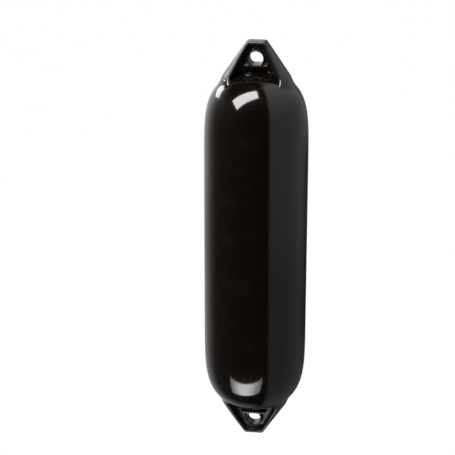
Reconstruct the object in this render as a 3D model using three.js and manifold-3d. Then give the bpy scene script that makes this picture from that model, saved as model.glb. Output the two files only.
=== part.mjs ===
// Inflatable cylindrical boat fender with a moulded rope eye at each end and an air valve.
// Sizes are in millimetres. The origin is the centre of the upper rope hole. +Z points up along
// the fender, X runs across the width of the rope eyes and Y along their rope holes, front at -Y.
import * as THREE from "three";
import { mergeVertices } from "three/addons/utils/BufferGeometryUtils.js";
import Module from "manifold-3d";

const wasm = await Module();
wasm.setup();

// Air shell
const BODY_DIAMETER = 152;
const HOLE_SPACING = 561.5;
const DOME_DROP = 20.25;
const END_HEIGHT = 160;
const END_FULLNESS = 5.7;
const WALL = 3;
const CROWN_WALL = 5;
const OUTER_STEPS = 20;
const OUTER_SIDES = 64;
const INNER_STEPS = 10;
const INNER_SIDES = 40;

// Rope eyes
const ROPE_HOLE_R = 10.3;
const ROPE_HOLE_ROUND = 1.5;
const BOSS_R = 12.8;
const BOSS_DEPTH = 24;
const EYE_END = 24.25;
const EYE_END_HALF_WIDTH = 14.2;
const EYE_FOOT_HALF_WIDTH = 50.5;
const EYE_SLANT_HEIGHT = 52.6;
const EYE_CORNER_R = 3;
const EYE_END_DEPTH = 20.4;
const EYE_FOOT_DEPTH = 56;
const EYE_CROWN_R = 44;
const FLANGE = 4.3;
const END_FLANGE = 3.2;
const RAMP_FOOT = 13.6;
const POCKET_CORNER_R = 2.5;
const WEB = 7;
const RIB_HALF_LENGTH = 18.3;
const RIB_THICKNESS = 4.2;
const RIB_TOP = 8.6;
const CROWN_STEPS = 8;

// Air valve
const VALVE_X = -8.2;
const VALVE_Y = -27;
const VALVE_PAD_R = 11;
const VALVE_PAD_DEPTH = 9;
const BUSH_R = 5.6;
const BUSH_COLLAR_R = 6.8;
const BUSH_COLLAR = 1.6;
const BUSH_LENGTH = 12;
const PLUG_SHANK_R = 3.2;
const PLUG_SHANK = 9;
const PLUG_HEAD_R = 5.2;
const PLUG_HEAD = 6.2;
const PLUG_ROUND = 1.4;
const SLOT_WIDTH = 1.6;
const SLOT_DEPTH = 1.8;

// Fits
const SEAT_GAP = 0.3;
const CUT_OVERRUN = 5;

const bodyRadius = BODY_DIAMETER / 2;
const halfBody = HOLE_SPACING / 2 - DOME_DROP;
const centreZ = -HOLE_SPACING / 2;
const eyeSlope = (EYE_FOOT_HALF_WIDTH - EYE_END_HALF_WIDTH) / EYE_SLANT_HEIGHT;
const eyeBend = EYE_END - EYE_SLANT_HEIGHT;
const BLACK_VINYL = 0x141414;

// Closed solid from a three.js geometry, with its faces turned outward.
function solid(geometry) {
  const bare = new THREE.BufferGeometry();
  bare.setAttribute("position", geometry.getAttribute("position").clone());
  if (geometry.index) bare.setIndex(geometry.index.clone());
  const merged = mergeVertices(bare, 1e-4);
  const place = merged.getAttribute("position").array;
  const corners = merged.index.array;
  const kept = [];
  let volume = 0;
  const [a, b, c] = [new THREE.Vector3(), new THREE.Vector3(), new THREE.Vector3()];
  for (let i = 0; i < corners.length; i += 3) {
    const [p, q, r] = [corners[i], corners[i + 1], corners[i + 2]];
    if (p === q || q === r || r === p) continue;
    kept.push([p, q, r]);
    a.fromArray(place, 3 * p);
    b.fromArray(place, 3 * q);
    c.fromArray(place, 3 * r);
    volume += a.dot(b.cross(c));
  }
  const turned = volume < 0 ? kept.map(([p, q, r]) => [p, r, q]) : kept;
  const mesh = { numProp: 3, vertProperties: place, triVerts: new Uint32Array(turned.flat()) };
  return new wasm.Manifold(new wasm.Mesh(mesh));
}

// Named three.js mesh from a finished solid.
function part(name, manifold) {
  const mesh = manifold.getMesh();
  const geometry = new THREE.BufferGeometry();
  geometry.setAttribute("position", new THREE.BufferAttribute(mesh.vertProperties, 3));
  geometry.setIndex(new THREE.BufferAttribute(mesh.triVerts, 1));
  geometry.computeVertexNormals();
  const material = new THREE.MeshStandardMaterial({ color: BLACK_VINYL, roughness: 0.3 });
  const piece = new THREE.Mesh(geometry, material);
  piece.name = name;
  return piece;
}

// Solid of revolution about Z from [radius, height] points.
function revolve(points, sides) {
  const profile = points.map(([r, z]) => new THREE.Vector2(r, z));
  return solid(new THREE.LatheGeometry(profile, sides).rotateX(Math.PI / 2));
}

// Prism along Y from an outline drawn in X and Z.
function prismAlongY(shape, yLow, yHigh) {
  const options = { depth: yHigh - yLow, bevelEnabled: false, curveSegments: 6 };
  const geometry = new THREE.ExtrudeGeometry(shape, options);
  return solid(geometry.rotateX(Math.PI / 2).translate(0, yHigh, 0));
}

// Prism along X from an outline drawn in Y and Z.
function prismAlongX(shape, halfLength) {
  const options = { depth: 2 * halfLength, bevelEnabled: false };
  const geometry = new THREE.ExtrudeGeometry(shape, options).translate(0, 0, -halfLength);
  return solid(geometry.rotateX(Math.PI / 2).rotateZ(Math.PI / 2));
}

// Solid through a stack of convex sections that have the same number of points.
function loft(sections) {
  const count = sections[0].length;
  const faces = [];
  for (let level = 1; level < sections.length; level += 1) {
    const low = (level - 1) * count;
    const high = level * count;
    for (let i = 0; i < count; i += 1) {
      const next = (i + 1) % count;
      faces.push(low + i, low + next, high + next, low + i, high + next, high + i);
    }
  }
  const top = (sections.length - 1) * count;
  for (let i = 1; i < count - 1; i += 1) {
    faces.push(0, i + 1, i, top, top + i, top + i + 1);
  }
  const geometry = new THREE.BufferGeometry();
  const place = new Float32Array(sections.flat(2));
  geometry.setAttribute("position", new THREE.BufferAttribute(place, 3));
  geometry.setIndex(faces);
  return solid(geometry);
}

// Half outline of the air shell, from the middle to the pole. The end is full: its radius is
// radius * sqrt(1 - t ^ END_FULLNESS), where t runs from 0 at the barrel to 1 at the pole.
function shellOutline(radius, endHeight, steps) {
  const barrelEnd = halfBody - END_HEIGHT;
  const outline = [];
  for (let i = 0; i <= steps; i += 1) {
    const t = 1 - (1 - i / steps) ** 2;
    const r = radius * Math.sqrt(Math.max(0, 1 - t ** END_FULLNESS));
    outline.push([r, barrelEnd + endHeight * t]);
  }
  return outline;
}

function shellSolid(radius, endHeight, steps, sides) {
  const upper = shellOutline(radius, endHeight, steps);
  const lower = upper.map(([r, z]) => [r, -z]).reverse();
  return revolve([...lower, ...upper], sides).translate([0, 0, centreZ]);
}

// Height of the upper dome above or below the upper rope hole, at a distance from the axis.
function domeHeight(distance) {
  const t = (1 - (distance / bodyRadius) ** 2) ** (1 / END_FULLNESS);
  return t * END_HEIGHT - END_HEIGHT - DOME_DROP;
}

// Placement of the valve: its foot on the dome and its axis square to the dome.
function valvePlacement() {
  const distance = Math.hypot(VALVE_X, VALVE_Y);
  const step = 0.01;
  const fall = (domeHeight(distance - step) - domeHeight(distance + step)) / (2 * step);
  const axis = new THREE.Vector3((VALVE_X / distance) * fall, (VALVE_Y / distance) * fall, 1);
  const turn = new THREE.Quaternion();
  turn.setFromUnitVectors(new THREE.Vector3(0, 0, 1), axis.normalize());
  const foot = new THREE.Vector3(VALVE_X, VALVE_Y, domeHeight(distance));
  return new THREE.Matrix4().compose(foot, turn, new THREE.Vector3(1, 1, 1));
}

function atValve(manifold) {
  return manifold.transform(valvePlacement().elements);
}

// Hollow shell with a pad inside that holds the valve bush.
function airShell() {
  const outer = shellSolid(bodyRadius, END_HEIGHT, OUTER_STEPS, OUTER_SIDES);
  const inner = shellSolid(bodyRadius - WALL, END_HEIGHT - CROWN_WALL, INNER_STEPS, INNER_SIDES);
  const padTop = -CROWN_WALL / 2;
  const pad = revolve([[0, -VALVE_PAD_DEPTH], [VALVE_PAD_R, -VALVE_PAD_DEPTH],
    [VALVE_PAD_R, padTop], [0, padTop]], 24);
  const holeR = BUSH_R + SEAT_GAP;
  const seatR = BUSH_COLLAR_R + SEAT_GAP;
  const hole = revolve([[0, -VALVE_PAD_DEPTH - CUT_OVERRUN], [holeR, -VALVE_PAD_DEPTH - CUT_OVERRUN],
    [holeR, -BUSH_COLLAR / 2 - SEAT_GAP], [seatR, -BUSH_COLLAR / 2 - SEAT_GAP],
    [seatR, CUT_OVERRUN], [0, CUT_OVERRUN]], 32);
  return outer.subtract(inner).add(atValve(pad)).subtract(atValve(hole));
}

// Half width of an eye on its middle plane: straight slopes, upright at the foot and rounded
// at the end corners.
function eyeHalfWidth(z) {
  const sloped = EYE_END_HALF_WIDTH + eyeSlope * (EYE_END - z);
  const width = Math.min(sloped, EYE_FOOT_HALF_WIDTH);
  const slant = Math.hypot(1, eyeSlope);
  const cornerZ = EYE_END - EYE_CORNER_R;
  const cornerX = EYE_END_HALF_WIDTH + eyeSlope * EYE_CORNER_R - EYE_CORNER_R * slant;
  if (z < cornerZ + (EYE_CORNER_R * eyeSlope) / slant) return width;
  return cornerX + Math.sqrt(Math.max(0, EYE_CORNER_R ** 2 - (z - cornerZ) ** 2));
}

function eyeHalfDepth(z) {
  const growth = (EYE_FOOT_DEPTH - EYE_END_DEPTH) / EYE_SLANT_HEIGHT;
  return (EYE_END_DEPTH + growth * (EYE_END - z)) / 2;
}

// How far the crowned outer face of a flange falls back at a distance from the middle plane.
function crownFall(y) {
  return EYE_CROWN_R - Math.sqrt(EYE_CROWN_R ** 2 - y ** 2);
}

function eyeSection(z) {
  const halfDepth = eyeHalfDepth(z);
  const right = [];
  for (let i = 0; i <= CROWN_STEPS; i += 1) {
    const y = halfDepth * ((2 * i) / CROWN_STEPS - 1);
    right.push([eyeHalfWidth(z) - crownFall(y), y, z]);
  }
  const left = right.map(([x, y]) => [-x, -y, z]);
  return [...right, ...left];
}

// Wedge left standing behind the rope hole, from the web out to the edge of the end flange.
function endRamp() {
  const top = EYE_END - END_FLANGE;
  const fall = (top - RAMP_FOOT) / (eyeHalfDepth(top) - WEB / 2);
  const shape = new THREE.Shape();
  shape.moveTo(0, RAMP_FOOT - (fall * WEB) / 2);
  shape.lineTo(eyeHalfDepth(top) + CUT_OVERRUN, top + fall * CUT_OVERRUN);
  shape.lineTo(0, top + fall * CUT_OVERRUN);
  return prismAlongX(shape, EYE_FOOT_HALF_WIDTH);
}

// Recess on one face of an eye, between the flanges and down to the dome.
function eyePocket() {
  const top = EYE_END - END_FLANGE;
  const foot = -EYE_END - DOME_DROP - CUT_OVERRUN;
  const side = (z) => eyeHalfWidth(z) - crownFall(eyeHalfDepth(z)) - FLANGE;
  const topX = side(top);
  const rise = (side(0) - topX) / top;
  const shape = new THREE.Shape();
  shape.moveTo(-side(eyeBend), foot);
  shape.lineTo(side(eyeBend), foot);
  shape.lineTo(side(eyeBend), eyeBend);
  shape.lineTo(side(0), 0);
  shape.lineTo(topX + rise * POCKET_CORNER_R, top - POCKET_CORNER_R);
  shape.quadraticCurveTo(topX, top, topX - POCKET_CORNER_R, top);
  shape.lineTo(POCKET_CORNER_R - topX, top);
  shape.quadraticCurveTo(-topX, top, -topX - rise * POCKET_CORNER_R, top - POCKET_CORNER_R);
  shape.lineTo(-side(0), 0);
  shape.lineTo(-side(eyeBend), eyeBend);
  return prismAlongY(shape, WEB / 2, eyeHalfDepth(foot) + CUT_OVERRUN).subtract(endRamp());
}

// Cross rib, as deep as the boss. Its top is the flat floor of the rope hole.
function eyeRib() {
  const end = RIB_HALF_LENGTH - RIB_THICKNESS / 2;
  const middle = -RIB_TOP - RIB_THICKNESS / 2;
  const shape = new THREE.Shape();
  shape.absarc(end, middle, RIB_THICKNESS / 2, -Math.PI / 2, Math.PI / 2, false);
  shape.absarc(-end, middle, RIB_THICKNESS / 2, Math.PI / 2, (3 * Math.PI) / 2, false);
  shape.closePath();
  return prismAlongY(shape, -BOSS_DEPTH / 2, BOSS_DEPTH / 2);
}

// Rope hole with rounded mouths, as a cutter along Y.
function ropeHole() {
  const mouthR = ROPE_HOLE_R + ROPE_HOLE_ROUND;
  const steps = 4;
  const half = [];
  for (let i = 0; i <= steps; i += 1) {
    const angle = (i / steps) * (Math.PI / 2);
    const height = BOSS_DEPTH / 2 - ROPE_HOLE_ROUND * (1 - Math.sin(angle));
    half.push([mouthR - ROPE_HOLE_ROUND * Math.cos(angle), height]);
  }
  half.push([mouthR, BOSS_DEPTH / 2 + CUT_OVERRUN], [0, BOSS_DEPTH / 2 + CUT_OVERRUN]);
  const lower = half.map(([r, h]) => [r, -h]).reverse();
  return revolve([...lower, ...half], 40).rotate([90, 0, 0]);
}

// One rope eye with its flat end up: a web with flanges round it, a bossed rope hole and a rib
// across the hole's floor, seated on the dome.
function ropeEye() {
  const foot = -EYE_END - DOME_DROP;
  const cornerStart = EYE_END - EYE_CORNER_R * (1 - eyeSlope / Math.hypot(1, eyeSlope));
  const levels = [foot, (foot + eyeBend) / 2, eyeBend];
  for (const share of [0.2, 0.4, 0.6, 0.8, 1]) {
    levels.push(eyeBend + (cornerStart - eyeBend) * share);
  }
  for (const share of [0.5, 0.8, 1]) levels.push(cornerStart + (EYE_END - cornerStart) * share);
  const pocket = eyePocket();
  const boss = solid(new THREE.CylinderGeometry(BOSS_R, BOSS_R, BOSS_DEPTH, 48));
  const dome = shellSolid(bodyRadius + SEAT_GAP, END_HEIGHT + SEAT_GAP, OUTER_STEPS, OUTER_SIDES);
  return loft(levels.map(eyeSection))
    .subtract(pocket)
    .subtract(pocket.rotate([0, 0, 180]))
    .add(boss)
    .subtract(ropeHole())
    .add(eyeRib())
    .subtract(dome);
}

// Valve bush, set in the shell with its collar let in by half.
function valveBush() {
  const boreR = PLUG_SHANK_R + SEAT_GAP;
  const low = BUSH_COLLAR / 2 - BUSH_LENGTH;
  const high = BUSH_COLLAR / 2;
  return revolve([[boreR, low], [BUSH_R, low], [BUSH_R, -high], [BUSH_COLLAR_R, -high],
    [BUSH_COLLAR_R, high], [boreR, high], [boreR, low]], 32);
}

// Screw plug with a coin slot across its head.
function valvePlug() {
  const seat = BUSH_COLLAR / 2 + SEAT_GAP;
  const top = seat + PLUG_HEAD;
  const points = [[0, seat - PLUG_SHANK], [PLUG_SHANK_R, seat - PLUG_SHANK], [PLUG_SHANK_R, seat],
    [PLUG_HEAD_R, seat]];
  for (let i = 0; i <= 4; i += 1) {
    const angle = (i / 4) * (Math.PI / 2);
    const r = PLUG_HEAD_R - PLUG_ROUND * (1 - Math.cos(angle));
    points.push([r, top - PLUG_ROUND * (1 - Math.sin(angle))]);
  }
  points.push([0, top]);
  const slotLength = 2 * (PLUG_HEAD_R + CUT_OVERRUN);
  const slot = new THREE.BoxGeometry(slotLength, SLOT_WIDTH, 2 * SLOT_DEPTH);
  return revolve(points, 32).subtract(solid(slot.translate(0, 0, top)));
}

const fender = new THREE.Group();
fender.name = "pneumatic_fender";
fender.add(part("body", airShell()));
fender.add(part("top_rope_eye", ropeEye()));
fender.add(part("bottom_rope_eye", ropeEye().rotate([180, 0, 0]).translate([0, 0, -HOLE_SPACING])));
fender.add(part("valve_bush", atValve(valveBush())));
fender.add(part("valve_plug", atValve(valvePlug())));

export default fender;
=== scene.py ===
import math

import bmesh
import bpy
import numpy as np
from mathutils import Matrix, Vector


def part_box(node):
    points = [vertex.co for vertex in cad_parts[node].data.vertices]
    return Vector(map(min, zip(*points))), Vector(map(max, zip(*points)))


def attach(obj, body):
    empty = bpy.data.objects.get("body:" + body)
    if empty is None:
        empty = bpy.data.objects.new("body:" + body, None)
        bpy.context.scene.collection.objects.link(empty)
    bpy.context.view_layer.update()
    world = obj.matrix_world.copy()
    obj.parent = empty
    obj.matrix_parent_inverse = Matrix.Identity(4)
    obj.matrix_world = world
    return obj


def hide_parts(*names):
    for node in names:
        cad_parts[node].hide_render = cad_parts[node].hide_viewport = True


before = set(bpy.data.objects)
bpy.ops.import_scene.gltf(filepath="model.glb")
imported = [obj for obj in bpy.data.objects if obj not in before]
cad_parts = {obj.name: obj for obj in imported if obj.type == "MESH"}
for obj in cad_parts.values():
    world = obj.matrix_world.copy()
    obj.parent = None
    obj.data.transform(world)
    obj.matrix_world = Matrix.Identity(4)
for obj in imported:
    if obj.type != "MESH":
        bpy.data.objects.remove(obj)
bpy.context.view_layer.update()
print("frame loaded:", sorted(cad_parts))

mm = 0.001

# the air shell, in the same numbers as the solid
shellSizes = {
    "endHeight": 160 * mm,  # length of each full end
    "endFullness": 5.7,
    "sides": 352,
    "capShare": 0.97,  # rings are spaced evenly in plan out to this share of the radius
    "capStep": 0.8 * mm,
    "shoulderRings": 26,
    "barrelRings": 10,
    "rootFillet": 3.4 * mm,  # vinyl that flows up the foot of each eye
    "toeFillet": 10.5 * mm,  # the same round the front and back ends of the flanges
    "outerFillet": 8.0 * mm,  # and on their outer sides
    "filletClimb": 0.75,  # height of a fillet as a share of its reach
    "filletBlend": 3.0 * mm,  # soft corner where web and flange meet
}

# the foot of a rope eye, where it stands on the dome
footSizes = {
    "halfWidth": 50.5 * mm,
    "crownRadius": 44 * mm,
    "flange": 4.3 * mm,
    "halfWeb": 3.5 * mm,
    "end": 24.25 * mm,  # height of the eye's end over its hole
    "slantHeight": 52.6 * mm,
    "endDepth": 20.4 * mm,
    "footDepth": 56 * mm,
}

holeSpacing = 561.5 * mm


# closed tube of quads from rings of points, shape (rings, sides, 3): each ring joins the
# next one, and an end closes on the mean point of its ring
def gridMesh(name, points, closeFirst=False, closeLast=False):
    rings, sides = points.shape[:2]
    ring, side = np.meshgrid(np.arange(rings - 1), np.arange(sides), indexing="ij")
    after = (side + 1) % sides
    quads = np.stack([ring * sides + side, ring * sides + after,
                      (ring + 1) * sides + after, (ring + 1) * sides + side], -1).reshape(-1, 4)
    verts = points.reshape(-1, 3)
    faces = quads.tolist()
    around = np.arange(sides)
    if closeFirst:
        verts = np.vstack([verts, points[0].mean(0)])
        hub = len(verts) - 1
        faces += np.stack([(around + 1) % sides, around, np.full(sides, hub)], -1).tolist()
    if closeLast:
        verts = np.vstack([verts, points[-1].mean(0)])
        hub = len(verts) - 1
        base = (rings - 1) * sides
        faces += np.stack([base + around, base + (around + 1) % sides, np.full(sides, hub)], -1).tolist()
    mesh = bpy.data.meshes.new(name)
    mesh.from_pydata(verts.tolist(), [], faces)
    mesh.update()
    piece = bpy.data.objects.new(name, mesh)
    bpy.context.scene.collection.objects.link(piece)
    return piece


# every face of a piece shades smoothly
def smoothShade(piece):
    piece.data.polygons.foreach_set("use_smooth", [True] * len(piece.data.polygons))
    piece.data.update()


# distance in plan from an eye at a height over its hole, less than 0 inside it: a web strip and
# two flange blocks are box distances, a flange's outer side falls back as a circle of
# crownRadius, and the nearer of the two wins with a soft corner. outside is 1 past the flange and
# 0 between the flanges, and outer is 1 straight out from it.
def footDistance(x, y, overHole):
    s = footSizes
    x, y = np.abs(x), np.abs(y)
    growth = (s["footDepth"] - s["endDepth"]) / s["slantHeight"]
    halfDepth = (s["endDepth"] + growth * (s["end"] - overHole)) / 2
    bendDepth = s["footDepth"] / 2
    inner = (s["halfWidth"] - s["crownRadius"] - s["flange"]
             + math.sqrt(s["crownRadius"] ** 2 - bendDepth ** 2))
    fall = s["crownRadius"] - np.sqrt(np.maximum(s["crownRadius"] ** 2 - y ** 2, 0))
    across = np.maximum(inner - x, x - (s["halfWidth"] - fall))
    along = y - halfDepth
    flange = (np.hypot(np.maximum(across, 0), np.maximum(along, 0))
              + np.minimum(np.maximum(across, along), 0))
    webAcross = x - (inner + s["flange"] / 2)
    webAlong = y - s["halfWeb"]
    web = (np.hypot(np.maximum(webAcross, 0), np.maximum(webAlong, 0))
           + np.minimum(np.maximum(webAcross, webAlong), 0))
    k = shellSizes["filletBlend"]
    mix = np.clip(0.5 + 0.5 * (web - flange) / k, 0, 1)
    distance = web + (flange - web) * mix - k * mix * (1 - mix)
    outside = np.clip((x - inner + s["flange"]) / (1.5 * s["flange"]), 0, 1)
    outside = outside * outside * (3 - 2 * outside)
    outward = np.maximum(x - inner - s["flange"] / 2, 0)
    outer = outward / (np.hypot(outward, np.maximum(along, 0)) + 1e-9)
    return distance, outside, outer


# surface of revolution, radius = R * sqrt(1 - t ** fullness) with t from 0 at the barrel to 1
# at the pole. near a foot the height grows by climb * f * (1 - d / f) ** 2, with f the
# fillet's reach and d the distance in plan from the foot.
def shellGrid():
    s = shellSizes
    low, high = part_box("body")
    radius = (high.x - low.x) / 2
    middle = (high.z + low.z) / 2
    half = (high.z - low.z) / 2
    barrelEnd = half - s["endHeight"]
    capRadius = s["capShare"] * radius
    capCount = int(capRadius / s["capStep"])
    capR = np.linspace(capRadius, s["capStep"] / 2, capCount)
    capT = (1 - (capR / radius) ** 2) ** (1 / s["endFullness"])
    shoulderT = np.linspace(0, capT[0], s["shoulderRings"], endpoint=False)
    shoulderR = radius * np.sqrt(1 - shoulderT ** s["endFullness"])
    endR = np.concatenate([shoulderR, capR])
    endZ = barrelEnd + s["endHeight"] * np.concatenate([shoulderT, capT])
    barrelZ = np.linspace(-barrelEnd, barrelEnd, s["barrelRings"] + 2)[1:-1]
    ringR = np.concatenate([endR[::-1], np.full(len(barrelZ), radius), endR])
    ringZ = np.concatenate([-endZ[::-1], barrelZ, endZ])
    turn = np.linspace(0, 2 * math.pi, s["sides"], endpoint=False)
    x = ringR[:, None] * np.cos(turn)
    y = ringR[:, None] * np.sin(turn)
    z = np.repeat(ringZ[:, None], s["sides"], 1)
    overHole = np.abs(z) - holeSpacing / 2
    toeTop = overHole + s["filletClimb"] * s["toeFillet"]
    distance, outside, outer = footDistance(x, y, toeTop)
    f = (s["rootFillet"] + (s["toeFillet"] - s["rootFillet"]) * outside
         + (s["outerFillet"] - s["toeFillet"]) * outer ** 2)
    d = np.clip(distance, 0, f)
    rise = s["filletClimb"] * f * (1 - d / f) ** 2
    z = z + np.sign(z) * rise + middle
    return np.stack([x, y, z], -1)


# the inflated shell with both its poles closed
def makeAirShell():
    shell = gridMesh("airShell", shellGrid(), closeFirst=True, closeLast=True)
    smoothShade(shell)
    return shell


# moulded look of an eye: remeshed finely, then its edges and corners melt
eyeMoulding = {"merge": 0.001 * mm, "voxel": 0.52 * mm, "melt": 0.6, "passes": 60}


# smooth-cornered copy of a CAD node: merged, remeshed on a fine grid and relaxed
def mouldEye(node, name, moulding):
    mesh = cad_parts[node].data.copy()
    mesh.name = name
    build = bmesh.new()
    build.from_mesh(mesh)
    bmesh.ops.remove_doubles(build, verts=build.verts, dist=moulding["merge"])
    build.to_mesh(mesh)
    build.free()
    mesh.materials.clear()
    rough = bpy.data.objects.new(name + "Rough", mesh)
    bpy.context.scene.collection.objects.link(rough)
    remesh = rough.modifiers.new("remesh", "REMESH")
    remesh.mode = "VOXEL"
    remesh.voxel_size = moulding["voxel"]
    relax = rough.modifiers.new("relax", "SMOOTH")
    relax.factor = moulding["melt"]
    relax.iterations = moulding["passes"]
    graph = bpy.context.evaluated_depsgraph_get()
    finished = bpy.data.meshes.new_from_object(rough.evaluated_get(graph))
    finished.name = name
    bpy.data.objects.remove(rough)
    piece = bpy.data.objects.new(name, finished)
    bpy.context.scene.collection.objects.link(piece)
    smoothShade(piece)
    return piece


# how rough or cloudy the three noises of the skin are
skinForm = {"waveDetail": 1.0, "peelDetail": 2.0, "hazeDetail": 5.0, "hazeRoughness": 0.62,
            "hazeFrom": 0.48, "hazeTo": 0.72}


# skin that every vinyl piece shares: slow waves plus a share of fine orange peel give the height,
# and a cloudy noise gives the mask of handling haze
def makeVinylSkin():
    group = bpy.data.node_groups.new("mouldedSkin", "ShaderNodeTree")
    face = group.interface
    for label in ("Wave Size", "Peel Size", "Peel Share", "Haze Size"):
        face.new_socket(label, in_out="INPUT", socket_type="NodeSocketFloat")
    face.new_socket("Vector", in_out="INPUT", socket_type="NodeSocketVector")
    face.new_socket("Height", in_out="OUTPUT", socket_type="NodeSocketFloat")
    face.new_socket("Haze", in_out="OUTPUT", socket_type="NodeSocketFloat")
    nodes, links = group.nodes, group.links
    given = nodes.new("NodeGroupInput")
    result = nodes.new("NodeGroupOutput")
    wave = nodes.new("ShaderNodeTexNoise")
    wave.inputs["Detail"].default_value = skinForm["waveDetail"]
    peel = nodes.new("ShaderNodeTexNoise")
    peel.inputs["Detail"].default_value = skinForm["peelDetail"]
    haze = nodes.new("ShaderNodeTexNoise")
    haze.inputs["Detail"].default_value = skinForm["hazeDetail"]
    haze.inputs["Roughness"].default_value = skinForm["hazeRoughness"]
    for texture, size in ((wave, "Wave Size"), (peel, "Peel Size"), (haze, "Haze Size")):
        links.new(given.outputs["Vector"], texture.inputs["Vector"])
        links.new(given.outputs[size], texture.inputs["Scale"])
    share = nodes.new("ShaderNodeMath")
    share.operation = "MULTIPLY_ADD"
    links.new(peel.outputs["Fac"], share.inputs[0])
    links.new(given.outputs["Peel Share"], share.inputs[1])
    links.new(wave.outputs["Fac"], share.inputs[2])
    links.new(share.outputs[0], result.inputs["Height"])
    clear = nodes.new("ShaderNodeMapRange")
    clear.interpolation_type = "SMOOTHSTEP"
    clear.inputs["From Min"].default_value = skinForm["hazeFrom"]
    clear.inputs["From Max"].default_value = skinForm["hazeTo"]
    links.new(haze.outputs["Fac"], clear.inputs["Value"])
    links.new(clear.outputs["Result"], result.inputs["Haze"])
    return group


# black vinyl: plain gloss, with the skin as its bump and the haze in its colour and roughness
def vinyl(name, group, look):
    material = bpy.data.materials.new(name)
    material.use_nodes = True
    nodes, links = material.node_tree.nodes, material.node_tree.links
    shader = nodes["Principled BSDF"]
    shader.inputs["Specular IOR Level"].default_value = look["specular"]
    place = nodes.new("ShaderNodeTexCoord")
    skin = nodes.new("ShaderNodeGroup")
    skin.node_tree = group
    for label in ("Wave Size", "Peel Size", "Peel Share", "Haze Size"):
        skin.inputs[label].default_value = look[label]
    links.new(place.outputs["Object"], skin.inputs["Vector"])
    tint = nodes.new("ShaderNodeMix")
    tint.data_type = "RGBA"
    tint.inputs["A"].default_value = (*look["colour"], 1)
    tint.inputs["B"].default_value = (*look["hazeColour"], 1)
    links.new(skin.outputs["Haze"], tint.inputs["Factor"])
    links.new(tint.outputs["Result"], shader.inputs["Base Color"])
    dull = nodes.new("ShaderNodeMapRange")
    dull.inputs["To Min"].default_value = look["roughness"]
    dull.inputs["To Max"].default_value = look["hazeRoughness"]
    links.new(skin.outputs["Haze"], dull.inputs["Value"])
    links.new(dull.outputs["Result"], shader.inputs["Roughness"])
    bump = nodes.new("ShaderNodeBump")
    bump.inputs["Strength"].default_value = look["bump"]
    bump.inputs["Distance"].default_value = look["bumpDepth"]
    links.new(skin.outputs["Height"], bump.inputs["Height"])
    links.new(bump.outputs["Normal"], shader.inputs["Normal"])
    return material


# finishes: the body is glossy, the eyes are satin and the valve is duller
bodyLook = {
    "colour": (0.0026, 0.0016, 0.0011), "hazeColour": (0.0038, 0.0027, 0.0021),
    "roughness": 0.09, "hazeRoughness": 0.13, "specular": 0.5,
    "Wave Size": 22.0, "Peel Size": 700.0, "Peel Share": 0.03, "Haze Size": 34.0,
    "bump": 0.2, "bumpDepth": 0.4 * mm,
}
eyeLook = {
    "colour": (0.009, 0.0084, 0.008), "hazeColour": (0.014, 0.0134, 0.013),
    "roughness": 0.27, "hazeRoughness": 0.37, "specular": 0.42,
    "Wave Size": 60.0, "Peel Size": 900.0, "Peel Share": 0.03, "Haze Size": 90.0,
    "bump": 0.2, "bumpDepth": 0.12 * mm,
}
valveLook = {
    "colour": (0.006, 0.006, 0.0062), "hazeColour": (0.011, 0.011, 0.0112),
    "roughness": 0.25, "hazeRoughness": 0.35, "specular": 0.5,
    "Wave Size": 120.0, "Peel Size": 1500.0, "Peel Share": 0.1, "Haze Size": 200.0,
    "bump": 0.2, "bumpDepth": 0.06 * mm,
}


# where the photograph was taken from, as its own pixels show
cameraSizes = {
    "azimuth": 7.0, "elevation": 19.16, "distance": 2.373, "roll": 0.37,
    "focalPixels": 1601.1, "imagePixels": 455, "centrePixel": (255.6, 243.33), "sensor": 36.0,
    "clip": (0.05, 60.0),
}


# camera round the fender's middle, rolled about its view, with a small shift of the picture
def makeCamera():
    s = cameraSizes
    a, e, roll = (math.radians(s[k]) for k in ("azimuth", "elevation", "roll"))
    back = Vector((math.sin(a) * math.cos(e), -math.cos(a) * math.cos(e), math.sin(e)))
    right = Vector((math.cos(a), math.sin(a), 0))
    up = back.cross(right)
    rolledRight = right * math.cos(roll) + up * math.sin(roll)
    rolledUp = up * math.cos(roll) - right * math.sin(roll)
    data = bpy.data.cameras.new("camera")
    data.sensor_width = s["sensor"]
    data.lens = s["sensor"] * s["focalPixels"] / s["imagePixels"]
    data.shift_x = (s["imagePixels"] / 2 - s["centrePixel"][0]) / s["imagePixels"]
    data.shift_y = (s["centrePixel"][1] - s["imagePixels"] / 2) / s["imagePixels"]
    data.clip_start, data.clip_end = s["clip"]
    camera = bpy.data.objects.new("camera", data)
    bpy.context.scene.collection.objects.link(camera)
    turn = Matrix((rolledRight, rolledUp, back)).transposed().to_4x4()
    middle = Vector((0, 0, -holeSpacing / 2))
    camera.matrix_world = Matrix.Translation(middle + back * s["distance"]) @ turn
    bpy.context.scene.camera = camera
    return camera


cardFade = (0.05, 0.95)  # where a card's middle begins and ends to dim, out from its centre line

# light cards, each with its corners where the camera sees them mirrored in the vinyl
cards = {
    "overhead": {"corners": ((-1.397, -0.467, 1.019), (-0.006, -0.171, 1.836),
                             (0.123, -0.89, 1.558), (-1.355, -1.229, 0.678)),
                 "glow": 17.0, "edgeShare": 1.0},
    "lowFront": {"corners": ((-0.747, -0.452, -0.957), (0.29, -0.9, -0.999),
                             (0.13, -0.6, -1.168), (-0.561, -0.252, -1.186)),
                 "glow": 11.0, "edgeShare": 0.25},
    "backLeft": {"corners": ((-0.75, 1.46, 0.37), (-0.9, 1.0, 0.95),
                             (-1.48, 0.67, 0.51), (-1.26, 1.01, 0.3)),
                 "glow": 9.0, "edgeShare": 1.0},
}


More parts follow.
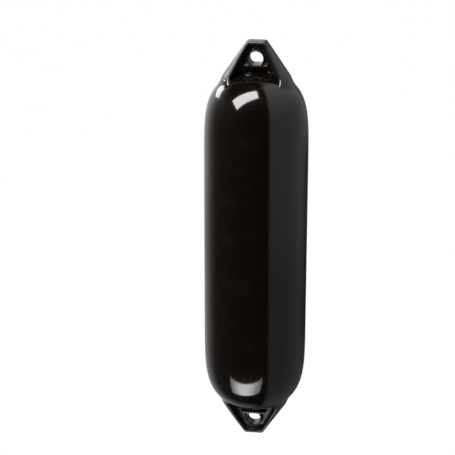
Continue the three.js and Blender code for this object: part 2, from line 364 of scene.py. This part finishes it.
# a mesh of the studio, not of the object
def studioMesh(name, verts, faces, material):
    mesh = bpy.data.meshes.new(name)
    mesh.from_pydata(verts, [], faces)
    mesh.materials.append(material)
    piece = bpy.data.objects.new(name, mesh)
    bpy.context.scene.collection.objects.link(piece)
    return piece


# a material whose nodes are all made here
def emptyMaterial(name):
    material = bpy.data.materials.new(name)
    material.use_nodes = True
    material.node_tree.nodes.clear()
    return material, material.node_tree


# one math node: each value is a number or another node's output
def calc(tree, operation, *values):
    node = tree.nodes.new("ShaderNodeMath")
    node.operation = operation
    for socket, value in zip(node.inputs, values):
        if isinstance(value, (int, float)):
            socket.default_value = value
        else:
            tree.links.new(value, socket)
    return node.outputs[0]


# 0 below low, 1 above high and a smooth step between
def ease(tree, value, low, high):
    node = tree.nodes.new("ShaderNodeMapRange")
    node.interpolation_type = "SMOOTHSTEP"
    node.inputs["From Min"].default_value = low
    node.inputs["From Max"].default_value = high
    tree.links.new(value, node.inputs["Value"])
    return node.outputs["Result"]


# straight lines between (value, result) stops, for values from -1 to 1
def curve(tree, value, stops):
    node = tree.nodes.new("ShaderNodeFloatCurve")
    line = node.mapping.curves[0]
    while len(line.points) < len(stops):
        line.points.new(0.5, 0.5)
    for point, (place, result) in zip(line.points, stops):
        point.location = ((place + 1) / 2, result / 2)
        point.handle_type = "VECTOR"
    node.mapping.update()
    tree.links.new(calc(tree, "MULTIPLY_ADD", value, 0.5, 0.5), node.inputs["Value"])
    return calc(tree, "MULTIPLY", node.outputs["Value"], 2.0)


# glowing four-cornered card that the camera doesn't see, its strength glow * (edgeShare +
# (1 - edgeShare) * middle), with middle falling from 1 to 0 towards both ends
def makeCard(name, look, turned):
    material, tree = emptyMaterial(name)
    place = tree.nodes.new("ShaderNodeUVMap")
    split = tree.nodes.new("ShaderNodeSeparateXYZ")
    tree.links.new(place.outputs["UV"], split.inputs[0])
    off = calc(tree, "ABSOLUTE", calc(tree, "MULTIPLY_ADD", split.outputs["X"], 2.0, -1.0))
    middle = calc(tree, "SUBTRACT", 1.0, ease(tree, off, *cardFade))
    share = calc(tree, "MULTIPLY_ADD", middle, 1 - look["edgeShare"], look["edgeShare"])
    light = tree.nodes.new("ShaderNodeEmission")
    tree.links.new(calc(tree, "MULTIPLY", share, look["glow"]), light.inputs["Strength"])
    out = tree.nodes.new("ShaderNodeOutputMaterial")
    tree.links.new(light.outputs[0], out.inputs["Surface"])
    corners = [tuple(turned @ Vector(corner)) for corner in look["corners"]]
    card = studioMesh(name, corners, [(0, 1, 2, 3)], material)
    flat = card.data.uv_layers.new(name="UVMap")
    flat.data.foreach_set("uv", [0.0, 0.0, 1.0, 0.0, 1.0, 1.0, 0.0, 1.0])
    card.visible_camera = False
    return card


# the dim room that the gloss mirrors: a long grey wall on the right and a pale one behind on the
# left. "facing" runs from -1 towards the camera to 1 away from it, and "height" is the sine of
# the elevation.
roomLook = {
    "radius": 2.4, "rows": 32, "sides": 64, "dark": 0.01,
    "wallEdge": (0.12, 0.27), "wallSlant": 0.33,
    "wallByHeight": ((-1.0, 0.3), (-0.56, 0.26), (-0.35, 0.28), (-0.3, 0.39), (-0.2, 0.46),
                     (0.2, 0.5), (0.42, 0.62), (0.64, 0.8), (0.85, 1.0), (1.0, 1.2)),
    "gapByFacing": ((-1.0, 0.0), (0.0, 0.04), (0.33, 0.12), (0.47, 0.28), (0.64, 0.58),
                    (0.73, 0.75), (0.82, 0.88), (1.0, 0.92)),
    "gapByHeight": ((-1.0, 0.5), (-0.52, 0.5), (-0.42, 1.0), (-0.22, 1.0), (-0.15, 0.6), (0.0, 0.15),
                    (0.1, 0.0), (1.0, 0.0)),
    "cornerEdge": (0.76, 0.88), "cornerShade": 0.6,  # dark corner behind on the right
    "paleEdge": (-0.1, 0.1),
    "paleByFacing": ((-1.0, 0.0), (-0.57, 0.05), (-0.05, 0.09), (0.24, 0.2), (0.44, 0.48),
                     (0.64, 0.92), (0.87, 1.08), (1.0, 1.0)),
    "paleByHeight": ((-1.0, 0.3), (-0.55, 0.55), (-0.33, 0.5), (-0.28, 0.55), (-0.24, 0.7),
                     (0.0, 0.98), (0.3, 1.3), (0.52, 1.9), (0.62, 0.9), (0.75, 0.0), (1.0, 0.0)),
}


# big ball round the fender that only mirrored rays see. its glow depends on the direction
# from the fender's middle, with X to the camera's right and Y away from the camera.
def makeRoom(turnDegrees):
    look = roomLook
    material, tree = emptyMaterial("room")
    place = tree.nodes.new("ShaderNodeTexCoord")
    fromMiddle = tree.nodes.new("ShaderNodeVectorMath")
    fromMiddle.operation = "ADD"
    fromMiddle.inputs[1].default_value = (0, 0, holeSpacing / 2)
    tree.links.new(place.outputs["Object"], fromMiddle.inputs[0])
    unit = tree.nodes.new("ShaderNodeVectorMath")
    unit.operation = "NORMALIZE"
    tree.links.new(fromMiddle.outputs[0], unit.inputs[0])
    turn = tree.nodes.new("ShaderNodeVectorRotate")
    turn.rotation_type = "Z_AXIS"
    turn.inputs["Angle"].default_value = -math.radians(turnDegrees)
    tree.links.new(unit.outputs[0], turn.inputs["Vector"])
    split = tree.nodes.new("ShaderNodeSeparateXYZ")
    tree.links.new(turn.outputs[0], split.inputs[0])
    x, y, z = split.outputs
    slanted = calc(tree, "MULTIPLY_ADD", y, look["wallSlant"], x)
    inWall = ease(tree, slanted, *look["wallEdge"])
    level = calc(tree, "SQRT", calc(tree, "SUBTRACT", 1.0, calc(tree, "MULTIPLY", z, z)))
    facing = calc(tree, "DIVIDE", y, calc(tree, "MAXIMUM", level, 0.001))
    gap = calc(tree, "MULTIPLY", curve(tree, facing, look["gapByFacing"]),
               curve(tree, z, look["gapByHeight"]))
    corner = calc(tree, "MULTIPLY", ease(tree, facing, *look["cornerEdge"]), look["cornerShade"])
    gap = calc(tree, "MAXIMUM", gap, corner)
    wall = calc(tree, "MULTIPLY", calc(tree, "MULTIPLY", inWall, calc(tree, "SUBTRACT", 1.0, gap)),
                curve(tree, z, look["wallByHeight"]))
    onLeft = ease(tree, calc(tree, "MULTIPLY", x, -1.0), *look["paleEdge"])
    paleSide = calc(tree, "MULTIPLY", onLeft, curve(tree, facing, look["paleByFacing"]))
    pale = calc(tree, "MULTIPLY", paleSide, curve(tree, z, look["paleByHeight"]))
    glow = calc(tree, "ADD", calc(tree, "ADD", wall, pale), look["dark"])
    light = tree.nodes.new("ShaderNodeEmission")
    tree.links.new(glow, light.inputs["Strength"])
    out = tree.nodes.new("ShaderNodeOutputMaterial")
    tree.links.new(light.outputs[0], out.inputs["Surface"])
    material.cycles.emission_sampling = "NONE"
    rows, sides = look["rows"], look["sides"]
    tilt = np.linspace(0, math.pi, rows + 1)[1:-1, None]
    around = np.linspace(0, 2 * math.pi, sides, endpoint=False)
    points = look["radius"] * np.stack([np.sin(tilt) * np.cos(around), np.sin(tilt) * np.sin(around),
                                        np.cos(tilt) + 0 * around], -1)
    points[..., 2] -= holeSpacing / 2
    ball = gridMesh("room", points, closeFirst=True, closeLast=True)
    ball.data.materials.append(material)
    ball.visible_camera = ball.visible_diffuse = ball.visible_shadow = ball.visible_transmission = False
    return ball


# mixes paper in for camera, mirrored and see-through rays, so that all of them meet the same
# white background
def whiteToViewer(tree, plain, paper):
    path = tree.nodes.new("ShaderNodeLightPath")
    mirrored = calc(tree, "MAXIMUM", path.outputs["Is Glossy Ray"], path.outputs["Is Transmission Ray"])
    seen = calc(tree, "MAXIMUM", path.outputs["Is Camera Ray"], mirrored)
    mix = tree.nodes.new("ShaderNodeMixShader")
    tree.links.new(calc(tree, "MULTIPLY", seen, paper["share"]), mix.inputs[0])
    tree.links.new(plain, mix.inputs[1])
    tree.links.new(paper["shader"], mix.inputs[2])
    return mix.outputs[0]


# even pale light that is white to the viewer
def makeWorld():
    world = bpy.data.worlds.new("softLight")
    bpy.context.scene.world = world
    world.use_nodes = True
    tree = world.node_tree
    tree.nodes.clear()
    soft = tree.nodes.new("ShaderNodeBackground")
    soft.inputs["Color"].default_value = (0.5, 0.5, 0.5, 1)
    white = tree.nodes.new("ShaderNodeBackground")
    white.inputs["Color"].default_value = (1, 1, 1, 1)
    out = tree.nodes.new("ShaderNodeOutputWorld")
    sheet = {"shader": white.outputs[0], "share": 1.0}
    shown = whiteToViewer(tree, soft.outputs[0], sheet)
    tree.links.new(shown, out.inputs["Surface"])


# the floor: how far below, how wide, and how much of it is white paper to the viewer
floorLook = {"height": -2.75, "radius": 20.0, "sides": 96, "colour": 0.9, "paperShare": 0.9,
             "paperGlow": 1.06}


# pale round floor far below the hanging fender. most of what the viewer sees of it is white
# paper, and the rest is its own shading with the shadow in it.
def makeFloor():
    look = floorLook
    material, tree = emptyMaterial("paleFloor")
    matt = tree.nodes.new("ShaderNodeBsdfDiffuse")
    matt.inputs["Color"].default_value = (look["colour"],) * 3 + (1,)
    paper = tree.nodes.new("ShaderNodeEmission")
    paper.inputs["Strength"].default_value = look["paperGlow"]
    out = tree.nodes.new("ShaderNodeOutputMaterial")
    sheet = {"shader": paper.outputs[0], "share": look["paperShare"]}
    shown = whiteToViewer(tree, matt.outputs[0], sheet)
    tree.links.new(shown, out.inputs["Surface"])
    around = np.linspace(0, 2 * math.pi, look["sides"], endpoint=False)
    rim = np.stack([look["radius"] * np.cos(around), look["radius"] * np.sin(around),
                    np.full(look["sides"], look["height"])], -1)
    return studioMesh("floor", rim.tolist(), [list(range(look["sides"]))], material)


skin = makeVinylSkin()
bodyVinyl = vinyl("glossVinyl", skin, bodyLook)
eyeVinyl = vinyl("eyeVinyl", skin, eyeLook)
valvePlastic = vinyl("valvePlastic", skin, valveLook)
print("materials made")

shell = makeAirShell()
shell.data.materials.append(bodyVinyl)
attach(shell, "root")
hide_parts("body")
print("air shell made:", len(shell.data.polygons), "faces")

for node, name in (("top_rope_eye", "upperEye"), ("bottom_rope_eye", "lowerEye")):
    eye = mouldEye(node, name, eyeMoulding)
    eye.data.materials.append(eyeVinyl)
    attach(eye, "root")
    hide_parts(node)
    print(name, "made:", len(eye.data.polygons), "faces")

for node in ("valve_bush", "valve_plug"):
    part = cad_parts[node]
    part.data.materials.clear()
    part.data.materials.append(valvePlastic)
print("valve finished")

makeFloor()
makeCamera()
makeWorld()
makeRoom(cameraSizes["azimuth"])
facing = Matrix.Rotation(math.radians(cameraSizes["azimuth"]), 3, "Z")
for name, look in cards.items():
    makeCard(name, look, facing)
bpy.context.scene.view_settings.view_transform = "Standard"
print("studio set")
